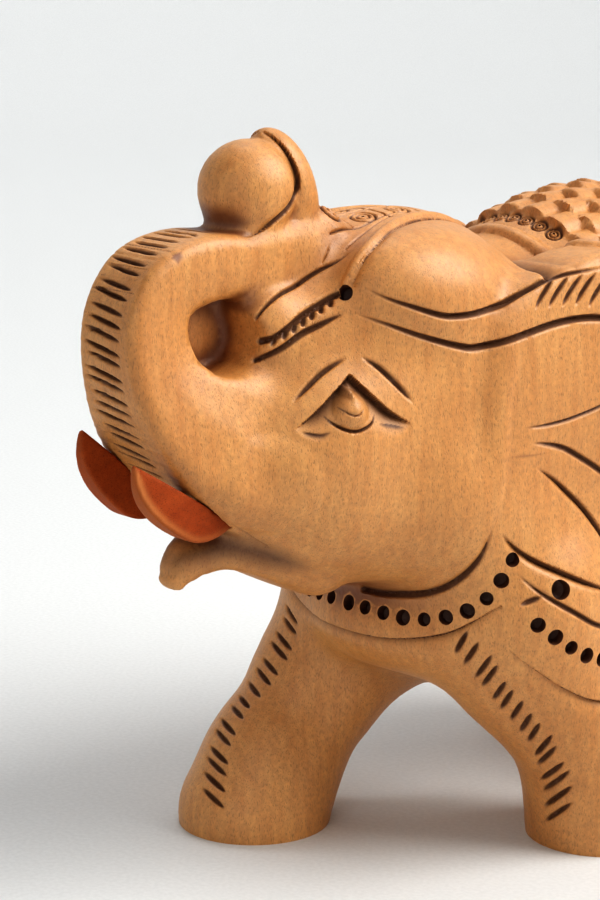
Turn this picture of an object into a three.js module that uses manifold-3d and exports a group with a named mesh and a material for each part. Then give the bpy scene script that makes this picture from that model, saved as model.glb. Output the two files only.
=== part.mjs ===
// A hand-carved wooden elephant with its trunk curled up over its head, and two push-fit tusks of redder wood.
// Millimetres, +Z up. It faces -Y and its left side is +X. The origin is the centre of its base, on the surface
// that it stands on. The body is one block of wood, so it is described as one smooth field of blended forms
// (negative inside, positive outside) and turned into a closed mesh; the tusks and pegs are plain solids.

import * as THREE from 'three';
import { mergeVertices } from 'three/addons/utils/BufferGeometryUtils.js';
import Module from 'manifold-3d';

const wasm = await Module();
wasm.setup();

// ---- driving dimensions ----
const STANCE = 27.5; // from the centre line to the middle of a front foot
const HIND_STANCE = 30;
const FOOT_RADIUS = 16.9;
const SHANK_RADIUS = 14.2; // the leg just above the foot
const THIGH_RADIUS = 18;
const BACK_TOP = 138.5; // height of the back
const BARREL_HALF_WIDTH = 37;
const BARREL_HALF_LENGTH = 58;
const BELLY = 36; // height of the underside
const HEAD_HALF_WIDTH = 31;
const TRUNK_HALF_WIDTH = 9.2;
const KNOB_RADIUS = 10; // the ball at the trunk's tip
const KNOB_HEIGHT = 144.8;
const EAR_FACE = 33; // the ear's front edge, from the centre line
const EAR_DEPTH = 16; // how far its solid runs into the head and neck

const TUSK_THICKNESS = 5.6;
const TUSK_INNER_FACE = 6.8; // from the centre line
const PEG_RADIUS = 1.4;
const PEG_LENGTH = 11;
const FIT = 0.3; // clearance round everything that pushes in

// Mesh density, as the spacing of the sampling lattice along each axis.
const FINE = 4.1; // the head, ears and trunk
const COARSE = 6.6; // the barrel and legs
const NECK = 28; // y where the one meets the other
const ELBOW = 64; // z where the one meets the other

const COLOURS = { wood: 0xc98d56, redwood: 0x8a3b1e, dowel: 0xb98552 };
const rad = THREE.MathUtils.degToRad;

// ---- fields ----

/** The union of two fields with a rounded valley of size k between them. */
function meld(k, a, b) {
  const h = THREE.MathUtils.clamp(0.5 + (0.5 * (b - a)) / k, 0, 1);
  return b + (a - b) * h - k * h * (1 - h);
}

/** Several fields melded one after another; each row is a field and its valley. */
function blend(first, ...rows) {
  return (x, y, z) => rows.reduce((d, [field, k]) => meld(k, d, field(x, y, z)), first(x, y, z));
}

/** A field carved on one side only, repeated on the other. */
const mirrored = (field) => (x, y, z) => field(Math.abs(x), y, z);

/** What lies in both fields, with its rim rounded by k. */
const common = (k, a, b) => (x, y, z) => -meld(k, -a(x, y, z), -b(x, y, z));

/** The first field with the second cut out of it, the rim rounded by k. */
const without = (k, a, b) => (x, y, z) => -meld(k, -a(x, y, z), b(x, y, z));

/** An ellipsoid; pitch lifts its front, in degrees. */
function egg([cx, cy, cz], [rx, ry, rz], pitch = 0) {
  const [c, s] = [Math.cos(rad(pitch)), Math.sin(rad(pitch))];
  return (x, y, z) => {
    const [u, v, w] = [x - cx, (y - cy) * c + (z - cz) * s, (z - cz) * c - (y - cy) * s];
    const near = Math.hypot(u / rx, v / ry, w / rz);
    const slope = Math.hypot(u / rx ** 2, v / ry ** 2, w / rz ** 2);
    return (near * (near - 1)) / Math.max(slope, 1e-6);
  };
}

/** A straight limb with round ends, from one ball (centre and radius) to another. */
function limb([ax, ay, az, ra], [bx, by, bz, rb]) {
  const axis = new THREE.Vector3(bx - ax, by - ay, bz - az);
  const length2 = axis.lengthSq();
  const taper = ra - rb;
  const straight2 = length2 - taper * taper;
  return (x, y, z) => {
    const [px, py, pz] = [x - ax, y - ay, z - az];
    const along = px * axis.x + py * axis.y + pz * axis.z;
    const past = along - length2;
    const across2 =
      (px * length2 - axis.x * along) ** 2 +
      (py * length2 - axis.y * along) ** 2 +
      (pz * length2 - axis.z * along) ** 2;
    const edge = Math.sign(taper) * taper * taper * across2;
    if (Math.sign(past) * straight2 * past * past * length2 > edge) {
      return Math.sqrt(across2 + past * past * length2) / length2 - rb;
    }
    if (Math.sign(along) * straight2 * along * along * length2 < edge) {
      return Math.sqrt(across2 + along * along * length2) / length2 - ra;
    }
    return (Math.sqrt((across2 * straight2) / length2) + along * taper) / length2 - ra;
  };
}

/** Balls strung together into one bending limb. */
function chain(k, balls) {
  const links = balls.slice(1).map((ball, i) => limb(balls[i], ball));
  return blend(links[0], ...links.slice(1).map((link) => [link, k]));
}

/** A bar with a rounded box section, bent in the YZ plane. Stations: [y, z, half depth, half width, corner]. */
function bar(stations, stepsPerStation = 5) {
  const curves = [0, 1, 2, 3, 4].map((i) => stations.map((s) => s[i]));
  const count = (stations.length - 1) * stepsPerStation;
  const points = Array.from({ length: count + 1 }, (_, n) => curves.map((c) => along(c, n / stepsPerStation)));
  return (x, y, z) => {
    let best = { near: Infinity };
    for (let i = 0; i < count; i += 1) {
      const spot = nearest(points[i], points[i + 1], y, z);
      if (spot.near < best.near) best = spot;
    }
    const [, , depth, width, corner] = best.station;
    const round = Math.min(corner, depth * 0.99, width * 0.99);
    const u = Math.abs(x) - (width - round);
    const v = Math.abs(best.side) - (depth - round);
    const outside = Math.hypot(Math.max(u, 0), Math.max(v, 0), best.beyond);
    return outside + Math.min(Math.max(u, v), 0) - round;
  };
}

/** A smooth curve through evenly spaced values, at t. */
function along(values, t) {
  const i = Math.min(Math.floor(t), values.length - 2);
  const [b, c] = [values[i], values[i + 1]];
  const a = values[i - 1] ?? 2 * b - c;
  const d = values[i + 2] ?? 2 * c - b;
  const f = t - i;
  return 0.5 * (2 * b + (c - a) * f + (2 * a - 5 * b + 4 * c - d) * f * f + (3 * b - a - 3 * c + d) * f ** 3);
}

/** Where (y, z) lies beside one straight step of a bar. */
function nearest(from, to, y, z) {
  const [ey, ez] = [to[0] - from[0], to[1] - from[1]];
  const length = Math.hypot(ey, ez);
  const t = ((y - from[0]) * ey + (z - from[1]) * ez) / length ** 2;
  const clamped = THREE.MathUtils.clamp(t, 0, 1);
  return {
    near: Math.hypot(y - from[0] - ey * clamped, z - from[1] - ez * clamped),
    side: (ez * (y - from[0]) - ey * (z - from[1])) / length,
    beyond: (t - clamped) * length,
    station: from.map((value, i) => value + (to[i] - value) * clamped),
  };
}

/** A flap seen from the side: a closed outline in the YZ plane. Its face is x = face(y, z); it is solid inward. */
function flap(outline, face, depth, rim) {
  const curve = new THREE.CatmullRomCurve3(outline.map(([y, z]) => new THREE.Vector3(y, z, 0)), true);
  const edge = curve.getPoints(outline.length * 3).slice(0, -1);
  return common(
    rim,
    (x, y, z) => insideOutline(edge, y, z),
    (x, y, z) => Math.abs(x - face(y, z) + depth / 2) - depth / 2,
  );
}

/** Distance to a closed outline, negative inside it. */
function insideOutline(edge, y, z) {
  let [near, sign] = [Infinity, 1];
  edge.forEach((a, i) => {
    const b = edge[(i + edge.length - 1) % edge.length];
    const [ey, ez, wy, wz] = [b.x - a.x, b.y - a.y, y - a.x, z - a.y];
    const t = THREE.MathUtils.clamp((wy * ey + wz * ez) / (ey * ey + ez * ez), 0, 1);
    near = Math.min(near, Math.hypot(wy - ey * t, wz - ez * t));
    const tests = [z >= a.y, z < b.y, ey * wz > ez * wy];
    if (tests.every(Boolean) || !tests.some(Boolean)) sign = -sign;
  });
  return sign * near;
}

// ---- the carved forms ----

const barrel = mirrored(
  blend(
    egg([0, 33, 87], [BARREL_HALF_WIDTH, BARREL_HALF_LENGTH, BACK_TOP - 87], -4),
    [egg([0, 64, 86], [36, 40, 48]), 12],
    [egg([0, -6, BELLY + 28], [29, 24, 34]), 10], // chest
    [egg([20, -8, 58], [17, 24, 32]), 9], // shoulders
    [egg([20, 72, 58], [THIGH_RADIUS, 27, 36]), 9], // haunches
    [egg([0, -25, BELLY + 15], [27, 16, 12.5]), 8], // breast
  ),
);

// Each leg runs from the barrel to its foot: [x, y, z, radius] of each ball.
const legs = [
  [
    [-23, -12, 56, 17],
    [-26, -25, 30, SHANK_RADIUS],
    [-STANCE, -38, 13, SHANK_RADIUS],
    [-STANCE, -43.5, 2, FOOT_RADIUS],
  ],
  [
    [23, -10, 56, 17],
    [26, 1, 30, SHANK_RADIUS],
    [STANCE, 8, 13, SHANK_RADIUS],
    [STANCE, 10.7, 2, FOOT_RADIUS],
  ],
  [
    [-23, 62, 52, THIGH_RADIUS],
    [-28, 60, 28, 15],
    [-HIND_STANCE, 57.5, 13, SHANK_RADIUS],
    [-HIND_STANCE, 57, 2, FOOT_RADIUS],
  ],
  [
    [23, 72, 52, THIGH_RADIUS],
    [28, 82, 28, 15],
    [HIND_STANCE, 86, 13, SHANK_RADIUS],
    [HIND_STANCE, 87, 2, FOOT_RADIUS],
  ],
].map((balls) => chain(6, balls));

const tail = chain(2, [
  [0, 99, 110, 3.6],
  [0, 104, 90, 3.6],
  [0, 102, 70, 3.6],
  [0, 94.5, 54, 3.6],
  [0, 87.5, 46, 4.6],
]);

const head = mirrored(
  blend(
    egg([0, -26, 104], [HEAD_HALF_WIDTH, 32, 33]),
    [egg([15, -33, 122], [15, 22, 14], -12), 6], // domes of the forehead
    [egg([0, -36, 125], [13, 24, 13]), 6], // crown
    [egg([13, -50, 94], [14, 24, 22]), 8], // cheeks
    [limb([7, -46, 115, 14], [4, -62.6, 116.5, 10.6]), 6], // forehead behind the trunk's curl
    [egg([0, -42, 78], [23, 32, 17]), 9], // jaw
    [egg([17, -26, 81], [17, 22, 21]), 8], // jowls
  ),
);

const lip = bar([
  [-55, 70, 9, 14, 7],
  [-66, 72.3, 6.2, 11, 5],
  [-75, 73.6, 4.5, 7.6, 3.8],
  [-81.5, 72.4, 3.8, 5.6, 3.3],
  [-84.8, 70.2, 3.2, 4.2, 2.8],
  [-86.4, 68.2, 2.1, 3, 1.8],
]);

// The trunk drops forward from the face, curls up and back, and lies on the forehead.
const trunkBar = bar([
  [-58, 93, 20, 20, 14],
  [-70, 94, 18.5, 17, 12],
  [-80, 98, 15, 15.5, 8],
  [-88.2, 104, 11, TRUNK_HALF_WIDTH + 3.5, 5],
  [-93.2, 112, 8.6, TRUNK_HALF_WIDTH + 1, 4.5],
  [-94.2, 121, 7.6, TRUNK_HALF_WIDTH, 4.5],
  [-90.2, 128, 7, TRUNK_HALF_WIDTH, 4.5],
  [-82, 130.6, 6.8, TRUNK_HALF_WIDTH + 0.2, 4.5],
  [-72, 131, 6.3, TRUNK_HALF_WIDTH, 4.5],
  [-61, 133, 6, TRUNK_HALF_WIDTH, 4.5],
  [-52, 135, 6, TRUNK_HALF_WIDTH - 0.5, 4.5],
]);

const trunk = blend(
  trunkBar,
  [egg([0, -66.6, KNOB_HEIGHT], [KNOB_RADIUS, KNOB_RADIUS + 0.2, KNOB_RADIUS]), 1.5],
  [limb([0, -66.5, KNOB_HEIGHT - 2.8, 7.8], [0, -68.5, 133, 7.8]), 2], // its neck
  [egg([0, -58.4, KNOB_HEIGHT - 0.4], [8.7, 6.2, 12.8], 18), 0.5], // the hood behind it
  [egg([0, -57.5, 133.5], [9.6, 9.5, 9.5]), 0.8], // the hood's foot
  [egg([0, -68, 117.5], [11, 5.5, 10]), 2], // behind the curl's hollows
  [egg([-2.6, -79.5, 117], [2.9, 11, 11]), 0.8], // the web between them
);

/** The hollows inside the trunk's curl: one carved from each side, with a web of wood left between them. */
function curl(x, y, z) {
  const oval = (Math.hypot((y + 79 + 0.12 * (9 - x)) / 7.4, (z - 117) / 7.2) - 1) * 7;
  return Math.max(oval, 2.6 - Math.abs(x + 2.6));
}

const ears = mirrored(
  flap(
    [
      [-26, 118],
      [-19, 125],
      [-6, 129],
      [8, 130],
      [20, 126],
      [27, 115],
      [26, 98],
      [20, 80],
      [10, 62],
      [2, 55],
      [-7, 60],
      [-17, 67],
      [-25, 77],
      [-29, 90],
      [-29, 105],
    ],
    (y, z) => EAR_FACE + 0.17 * (y + 28) - 0.0032 * (z - 100) ** 2,
    EAR_DEPTH,
    5,
  ),
);

const elephant = blend(
  barrel,
  ...legs.map((leg) => [leg, 9]),
  [tail, 2],
  [without(0.9, blend(head, [trunk, 6], [lip, 3]), curl), 8],
  [ears, 4],
);

// ---- from a field to a closed mesh ----

/** Lattice lines from lo to hi: fine on one side of the change, coarse on the other. */
function lattice(lo, hi, change, before, after) {
  const lines = [lo];
  while (lines.at(-1) < hi) lines.push(lines.at(-1) + (lines.at(-1) < change ? before : after));
  return lines;
}

/** Moves a point onto the field's surface, along the field's slope. */
function settle(field, point, rounds = 3) {
  const e = 0.05;
  for (let i = 0; i < rounds; i += 1) {
    const { x, y, z } = point;
    const slope = new THREE.Vector3(
      field(x + e, y, z) - field(x - e, y, z),
      field(x, y + e, z) - field(x, y - e, z),
      field(x, y, z + e) - field(x, y, z - e),
    ).divideScalar(2 * e);
    const step = THREE.MathUtils.clamp(field(x, y, z) / Math.max(slope.lengthSq(), 0.3), -1.5, 1.5);
    point.addScaledVector(slope, -step);
  }
  return point;
}

/** One vertex in each lattice cell that the surface crosses, and one square of four cells on each crossed edge. */
function skin(field, axes) {
  const [nx, ny, nz] = axes.map((a) => a.length);
  const at = (i, j, k) => (i * ny + j) * nz + k;
  const values = new Float64Array(nx * ny * nz);
  for (let i = 0; i < nx; i += 1) {
    for (let j = 0; j < ny; j += 1) {
      for (let k = 0; k < nz; k += 1) values[at(i, j, k)] = field(axes[0][i], axes[1][j], axes[2][k]);
    }
  }
  const points = [];
  const seen = new Map();
  const vertex = (i, j, k) => {
    const key = at(i, j, k);
    if (!seen.has(key)) {
      seen.set(key, points.length);
      points.push(settle(field, cellCrossing(values, at, axes, [i, j, k])));
    }
    return seen.get(key);
  };
  const triangles = [];
  for (let i = 1; i < nx - 1; i += 1) {
    for (let j = 1; j < ny - 1; j += 1) {
      for (let k = 1; k < nz - 1; k += 1) {
        const inside = values[at(i, j, k)] < 0;
        for (let axis = 0; axis < 3; axis += 1) {
          const next = [i, j, k];
          next[axis] += 1;
          if (inside === values[at(...next)] < 0) continue;
          triangles.push(...square(cellsRound([i, j, k], axis).map((c) => vertex(...c)), points, inside));
        }
      }
    }
  }
  return { points, triangles };
}

/** Evens out the mesh: each vertex moves towards the middle of its neighbours, and back onto the surface. */
function relax(field, points, triangles, rounds) {
  const neighbours = points.map(() => new Set());
  triangles.forEach((vertex, i) => neighbours[vertex].add(triangles[i % 3 === 2 ? i - 2 : i + 1]));
  for (let round = 0; round < rounds; round += 1) {
    const middles = neighbours.map((near) => {
      const sum = new THREE.Vector3();
      near.forEach((n) => sum.add(points[n]));
      return sum.divideScalar(near.size);
    });
    points.forEach((point, i) => settle(field, point.lerp(middles[i], 0.4), 2));
  }
}

/** The four lattice cells that share the edge from a node along an axis, in order round it. */
function cellsRound(node, axis) {
  const [u, v] = [(axis + 1) % 3, (axis + 2) % 3];
  return [
    [1, 1],
    [0, 1],
    [0, 0],
    [1, 0],
  ].map(([du, dv]) => {
    const cell = [...node];
    cell[u] -= du;
    cell[v] -= dv;
    return cell;
  });
}

/** Two triangles across the shorter diagonal of a square, facing out. */
function square([a, b, c, d], points, inside) {
  const far = points[a].distanceToSquared(points[c]) > points[b].distanceToSquared(points[d]);
  const pair = far ? [a, b, d, b, c, d] : [a, b, c, a, c, d];
  return inside ? pair : pair.reverse();
}

/** The middle of the places where the surface cuts a cell's edges. */
function cellCrossing(values, at, axes, [i, j, k]) {
  const sum = new THREE.Vector3();
  let count = 0;
  const corners = [0, 1, 2, 3, 4, 5, 6, 7].map((n) => [i + (n & 1), j + ((n >> 1) & 1), k + (n >> 2)]);
  for (const [m, n] of CELL_EDGES) {
    const [va, vb] = [values[at(...corners[m])], values[at(...corners[n])]];
    if (va < 0 === vb < 0) continue;
    const ends = [corners[m], corners[n]].map((c) => new THREE.Vector3(...c.map((line, axis) => axes[axis][line])));
    sum.add(ends[0].lerp(ends[1], va / (va - vb)));
    count += 1;
  }
  return sum.divideScalar(count);
}

const CELL_EDGES = [0, 1, 2, 3, 4, 5, 6, 7].flatMap((n) => [1, 2, 4].filter((bit) => !(n & bit)).map((bit) => [n, n | bit]));

// ---- solids ----

/** A closed three.js geometry as a solid that can be cut and joined. */
function solidOf(geometry) {
  const bare = geometry.clone();
  bare.deleteAttribute('normal');
  bare.deleteAttribute('uv');
  const merged = mergeVertices(bare, 1e-4);
  return new wasm.Manifold(
    new wasm.Mesh({
      numProp: 3,
      vertProperties: Float32Array.from(merged.attributes.position.array),
      triVerts: Uint32Array.from(merged.index.array),
    }),
  );
}

function geometryOf(solid) {
  const { vertProperties, triVerts, numProp } = solid.getMesh();
  const positions = [];
  for (let i = 0; i < vertProperties.length; i += numProp) positions.push(...vertProperties.slice(i, i + 3));
  const geometry = new THREE.BufferGeometry();
  geometry.setAttribute('position', new THREE.Float32BufferAttribute(positions, 3));
  geometry.setIndex([...triVerts]);
  geometry.computeVertexNormals();
  return geometry;
}

/** The whole carved block, its soles cut flat on the floor. */
function carvedBlock() {
  const axes = [
    lattice(-54.6, 54.6, 0, FINE, FINE),
    lattice(-112, 120, NECK, FINE, COARSE),
    lattice(-16, 166, ELBOW, COARSE, FINE),
  ];
  const stub = (x, y, z) => Math.max(elephant(x, y, z), -4 - z); // the feet run a little below the floor
  const { points, triangles } = skin(stub, axes);
  relax(stub, points, triangles, 2);
  const geometry = new THREE.BufferGeometry().setFromPoints(points);
  geometry.setIndex(triangles);
  const floor = new THREE.BoxGeometry(200, 400, 40).translate(0, 0, -20);
  return solidOf(geometry).subtract(solidOf(floor));
}

// ---- tusks ----

// A tusk is a crescent seen from the side, and a lens seen along its own edge, so it is pointed at both ends.
const TUSK_ROOT = new THREE.Vector3(0, -79, 80.1);
const TUSK_TIP = new THREE.Vector3(0, -102.8, 95.4);
const TUSK_LENGTH = TUSK_ROOT.distanceTo(TUSK_TIP);
const TUSK_BELLY = 8; // how far the curves that shape its outer edge pull it from the inner edge
const TUSK_MIDDLE = TUSK_INNER_FACE + TUSK_THICKNESS / 2;
const RUN = TUSK_TIP.clone().sub(TUSK_ROOT).normalize(); // from root to tip
const INWARD = new THREE.Vector3(0, RUN.z, -RUN.y); // from the tusk into the head, along its peg
const TUSK_SIDES = [
  { side: 'left', sign: 1, lift: 0, forward: 0 },
  { side: 'right', sign: -1, lift: 10, forward: 1.5 }, // set a little higher than the other
];

/** Extrudes an outline drawn along RUN and a second axis, half its depth to each side of the middle plane. */
function across(outline, second, depth) {
  const shape = new THREE.Shape();
  shape.moveTo(...outline.start);
  outline.curves.forEach((curve) => shape.bezierCurveTo(...curve.flat()));
  const geometry = new THREE.ExtrudeGeometry(shape, { depth, curveSegments: 9, bevelEnabled: false });
  geometry.translate(0, 0, -depth / 2);
  const basis = new THREE.Matrix4().makeBasis(RUN, second, new THREE.Vector3().crossVectors(RUN, second));
  return geometry.applyMatrix4(basis.setPosition(TUSK_MIDDLE, TUSK_ROOT.y, TUSK_ROOT.z));
}

/** A left-hand tusk, grown by a margin all round. */
function tuskSolid(margin, side) {
  const [tail, tip] = [-margin, TUSK_LENGTH + 1.5 * margin];
  const depth = -TUSK_BELLY - margin;
  const crescent = {
    start: [tail, margin],
    curves: [
      [[tail + 0.35 * TUSK_LENGTH, margin + 0.2], [0.7 * TUSK_LENGTH, margin], [tip, margin]],
      [[tip - 2, 0.62 * depth], [0.72 * TUSK_LENGTH, 1.03 * depth], [0.36 * TUSK_LENGTH, 0.95 * depth]],
      [[0.2 * TUSK_LENGTH, 0.9 * depth], [0.06 * TUSK_LENGTH, 0.42 * depth], [tail, margin]],
    ],
  };
  const half = TUSK_THICKNESS / 2 + margin;
  const lens = {
    start: [tail, -0.3 * half],
    curves: [
      [[0.3 * TUSK_LENGTH, -1.25 * half], [0.65 * TUSK_LENGTH, -1.2 * half], [tip, -0.2 * half]],
      [[tip, -0.1 * half], [tip, 0.1 * half], [tip, 0.2 * half]],
      [[0.65 * TUSK_LENGTH, 1.2 * half], [0.3 * TUSK_LENGTH, 1.25 * half], [tail, 0.3 * half]],
    ],
  };
  const fromTheSide = across(crescent, INWARD, TUSK_THICKNESS * 3);
  const fromItsEdge = across(lens, new THREE.Vector3(1, 0, 0), TUSK_BELLY * 4);
  return solidOf(placed(fromTheSide, side)).intersect(solidOf(placed(fromItsEdge, side)));
}

/** A round rod along the peg's axis, more of it in the head than in the tusk. */
function rod(radius, length) {
  const turn = new THREE.Quaternion().setFromUnitVectors(new THREE.Vector3(0, 1, 0), INWARD);
  const middle = TUSK_ROOT.clone().addScaledVector(RUN, 0.43 * TUSK_LENGTH).addScaledVector(INWARD, 1.2);
  const geometry = new THREE.CylinderGeometry(radius, radius, length, 20).applyQuaternion(turn);
  return geometry.translate(TUSK_MIDDLE, middle.y, middle.z);
}

/** Turns a left-hand tusk piece into the one on the side asked for. */
function placed(geometry, { sign, lift, forward }) {
  geometry.translate(0, -TUSK_ROOT.y, -TUSK_ROOT.z).rotateX(rad(-lift));
  geometry.translate(0, TUSK_ROOT.y - forward, TUSK_ROOT.z);
  if (sign > 0) return geometry;
  const flat = geometry.index ? geometry.toNonIndexed() : geometry;
  const { array } = flat.scale(-1, 1, 1).attributes.position;
  for (let i = 0; i < array.length; i += 9) {
    const first = array.slice(i, i + 3); // a mirrored triangle is wound the other way
    array.copyWithin(i, i + 3, i + 6);
    array.set(first, i + 3);
  }
  return flat;
}

// ---- assembly ----

const wood = (colour) => new THREE.MeshStandardMaterial({ color: colour, roughness: 0.55, metalness: 0 });
const object = new THREE.Group();

function add(name, geometry, colour) {
  const mesh = new THREE.Mesh(geometry, wood(colour));
  mesh.name = name;
  object.add(mesh);
}

let body = carvedBlock();
for (const side of TUSK_SIDES) {
  const socket = solidOf(placed(rod(PEG_RADIUS + FIT, PEG_LENGTH + 2 * FIT), side));
  body = body.subtract(tuskSolid(FIT, side)).subtract(socket);
  add(`tusk_${side.side}`, geometryOf(tuskSolid(0, side).subtract(socket)), COLOURS.redwood);
  add(`tusk_peg_${side.side}`, placed(rod(PEG_RADIUS, PEG_LENGTH), side), COLOURS.dowel);
}
add('carved_body', geometryOf(body), COLOURS.wood);

// Stand the object on the origin, in the middle of its length and width.
const box = new THREE.Box3().setFromObject(object);
const middle = box.getCenter(new THREE.Vector3());
object.children.forEach((mesh) => mesh.geometry.translate(-middle.x, -middle.y, 0));

export default object;
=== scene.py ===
"""A hand-carved wooden elephant with push-fit tusks, on a pale table in soft window light.

The body is one block of wood. Its large forms are the same blended field as the CAD body's, here in numpy and
meshed much finer, and the carver's marks (veins, hatching, drilled beads, rings, petals) are then cut into that
surface as real geometry. Lengths in the carving sections are millimetres; everything given to Blender is metres.
"""

import math
from concurrent.futures import ThreadPoolExecutor

import bpy
import numpy as np
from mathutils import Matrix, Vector


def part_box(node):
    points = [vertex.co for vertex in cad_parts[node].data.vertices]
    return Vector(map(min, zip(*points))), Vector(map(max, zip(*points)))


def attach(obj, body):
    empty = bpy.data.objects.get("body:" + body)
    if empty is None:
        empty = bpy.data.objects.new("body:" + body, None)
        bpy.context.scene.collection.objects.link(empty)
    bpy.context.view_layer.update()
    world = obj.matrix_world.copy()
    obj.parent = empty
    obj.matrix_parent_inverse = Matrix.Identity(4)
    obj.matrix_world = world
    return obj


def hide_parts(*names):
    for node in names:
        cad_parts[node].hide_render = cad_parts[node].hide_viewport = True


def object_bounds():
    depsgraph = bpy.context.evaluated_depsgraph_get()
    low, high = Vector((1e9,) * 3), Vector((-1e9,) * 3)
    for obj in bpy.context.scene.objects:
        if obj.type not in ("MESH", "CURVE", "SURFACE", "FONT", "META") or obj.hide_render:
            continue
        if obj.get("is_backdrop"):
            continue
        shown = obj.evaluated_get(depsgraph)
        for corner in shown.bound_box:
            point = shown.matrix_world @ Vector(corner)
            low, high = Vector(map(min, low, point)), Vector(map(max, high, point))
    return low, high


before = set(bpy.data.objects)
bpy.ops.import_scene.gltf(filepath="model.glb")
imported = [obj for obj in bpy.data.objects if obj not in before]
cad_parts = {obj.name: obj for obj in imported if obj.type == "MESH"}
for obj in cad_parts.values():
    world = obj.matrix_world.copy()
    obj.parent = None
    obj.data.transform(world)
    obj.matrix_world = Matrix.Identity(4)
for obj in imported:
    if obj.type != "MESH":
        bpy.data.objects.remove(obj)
CAD_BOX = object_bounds()
MM = 0.001

# ------ fields: distance to a form, negative inside


def meld(k, a, b):
    """The union of two distances with a rounded valley of size k between them."""
    h = np.clip(0.5 + 0.5 * (b - a) / k, 0, 1)
    return b + (a - b) * h - k * h * (1 - h)


def blend(first, *rows):
    """Several fields melded one after another; each row is a field and its valley."""

    def field(p):
        d = first(p)
        for other, k in rows:
            d = meld(k, d, other(p))
        return d

    return field


def mirrored(field):
    return lambda p: field(np.stack([np.abs(p[:, 0]), p[:, 1], p[:, 2]], 1))


def common(k, a, b):
    return lambda p: -meld(k, -a(p), -b(p))


def near_only(low, high, field):
    """A costly field, worked out only inside a box that clears its form by REACH all round."""
    low, high = np.array(low, np.float32), np.array(high, np.float32)

    def inner(p):
        outside = np.maximum(np.maximum(low - p, p - high), 0)
        d = np.sqrt((outside**2).sum(1)) + REACH
        here = d == REACH
        if here.any():
            d[here] = field(p[here])
        return d

    return inner


REACH = 12.0


def egg(centre, radii, pitch=0):
    """An ellipsoid; pitch lifts its front, in degrees."""
    centre, radii = np.array(centre, np.float32), np.array(radii, np.float32)
    c, s = math.cos(math.radians(pitch)), math.sin(math.radians(pitch))

    def field(p):
        q = p - centre
        if pitch:
            q = np.stack([q[:, 0], q[:, 1] * c + q[:, 2] * s, q[:, 2] * c - q[:, 1] * s], 1)
        near = np.sqrt(((q / radii) ** 2).sum(1))
        slope = np.sqrt(((q / radii**2) ** 2).sum(1))
        return near * (near - 1) / np.maximum(slope, 1e-6)

    return field


def limb(start, end):
    """A straight limb with round ends, from one ball (centre and radius) to another."""
    a, ra, rb = np.array(start[:3], np.float32), start[3], end[3]
    axis = np.array(end[:3], np.float32) - a
    length2, taper = float(axis @ axis), ra - rb
    straight2 = length2 - taper * taper

    def field(p):
        q = p - a
        along = q @ axis
        past = along - length2
        across2 = ((q * length2 - along[:, None] * axis) ** 2).sum(1)
        edge = math.copysign(taper * taper, taper) * across2
        d = (np.sqrt(across2 * straight2 / length2) + along * taper) / length2 - ra
        before = np.sign(along) * straight2 * along * along * length2 < edge
        beyond = np.sign(past) * straight2 * past * past * length2 > edge
        d = np.where(before, np.sqrt(across2 + along * along * length2) / length2 - ra, d)
        return np.where(beyond, np.sqrt(across2 + past * past * length2) / length2 - rb, d)

    return field


def chain(k, balls):
    """Balls strung together into one bending limb."""
    links = [limb(a, b) for a, b in zip(balls, balls[1:])]
    return blend(links[0], *[(link, k) for link in links[1:]])


def curve(rows, steps, closed=False):
    """A smooth curve through the rows' points, with this many steps between each two."""
    rows = np.array(rows, np.float32)
    if closed:
        rows = np.vstack([rows[-1], rows, rows[0], rows[1]])
    else:
        rows = np.vstack([2 * rows[0] - rows[1], rows, 2 * rows[-1] - rows[-2]])
    t = np.arange(steps)[:, None] / steps
    spans = []
    for a, b, c, d in zip(rows, rows[1:], rows[2:], rows[3:]):
        spans.append(0.5 * (2 * b + (c - a) * t + (2 * a - 5 * b + 4 * c - d) * t**2 + (3 * b - a - 3 * c + d) * t**3))
    if not closed:
        spans.append(rows[-2][None])
    return np.concatenate(spans).astype(np.float32)


def bar(stations, steps=5, flare=0.0):
    """A bar bent in the YZ plane, a rounded box in section. Its stations are (y, z, half depth, half width, corner).

    flare narrows the side that lies to the left of its run.
    """
    points = curve(stations, steps)

    def field(p):
        yz = p[:, 1:]
        near = np.full(len(p), 1e9, np.float32)
        side, beyond = np.zeros_like(near), np.zeros_like(near)
        sizes = np.zeros((len(p), 3), np.float32)
        for a, b in zip(points, points[1:]):
            step = b[:2] - a[:2]
            length = math.hypot(*step)
            w = yz - a[:2]
            t = w @ step / length**2
            held = np.clip(t, 0, 1)
            gap = ((w - held[:, None] * step) ** 2).sum(1)
            closer = gap < near
            near = np.where(closer, gap, near)
            side = np.where(closer, (step[1] * w[:, 0] - step[0] * w[:, 1]) / length, side)
            beyond = np.where(closer, (t - held) * length, beyond)
            sizes = np.where(closer[:, None], a[2:] + held[:, None] * (b - a)[2:], sizes)
        depth, width, corner = sizes.T
        corner = np.minimum(corner, 0.99 * np.minimum(depth, width))
        u = np.abs(p[:, 0]) - (width - corner) + flare * np.clip(side, 0, depth)
        v = np.abs(side) - (depth - corner)
        outside = np.sqrt(np.maximum(u, 0) ** 2 + np.maximum(v, 0) ** 2 + beyond**2)
        return outside + np.minimum(np.maximum(u, v), 0) - corner

    return field


def inside_outline(edge, yz):
    """Distance to a closed outline, negative inside it."""
    near = np.full(len(yz), 1e9, np.float32)
    sign = np.ones(len(yz), np.float32)
    for a, b in zip(edge, np.roll(edge, 1, axis=0)):
        step, w = b - a, yz - a
        t = np.clip(w @ step / (step @ step), 0, 1)
        near = np.minimum(near, ((w - t[:, None] * step) ** 2).sum(1))
        tests = np.stack([yz[:, 1] >= a[1], yz[:, 1] < b[1], step[0] * w[:, 1] > step[1] * w[:, 0]])
        sign = np.where(tests.all(0) | ~tests.any(0), -sign, sign)
    return sign * np.sqrt(near)


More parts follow.
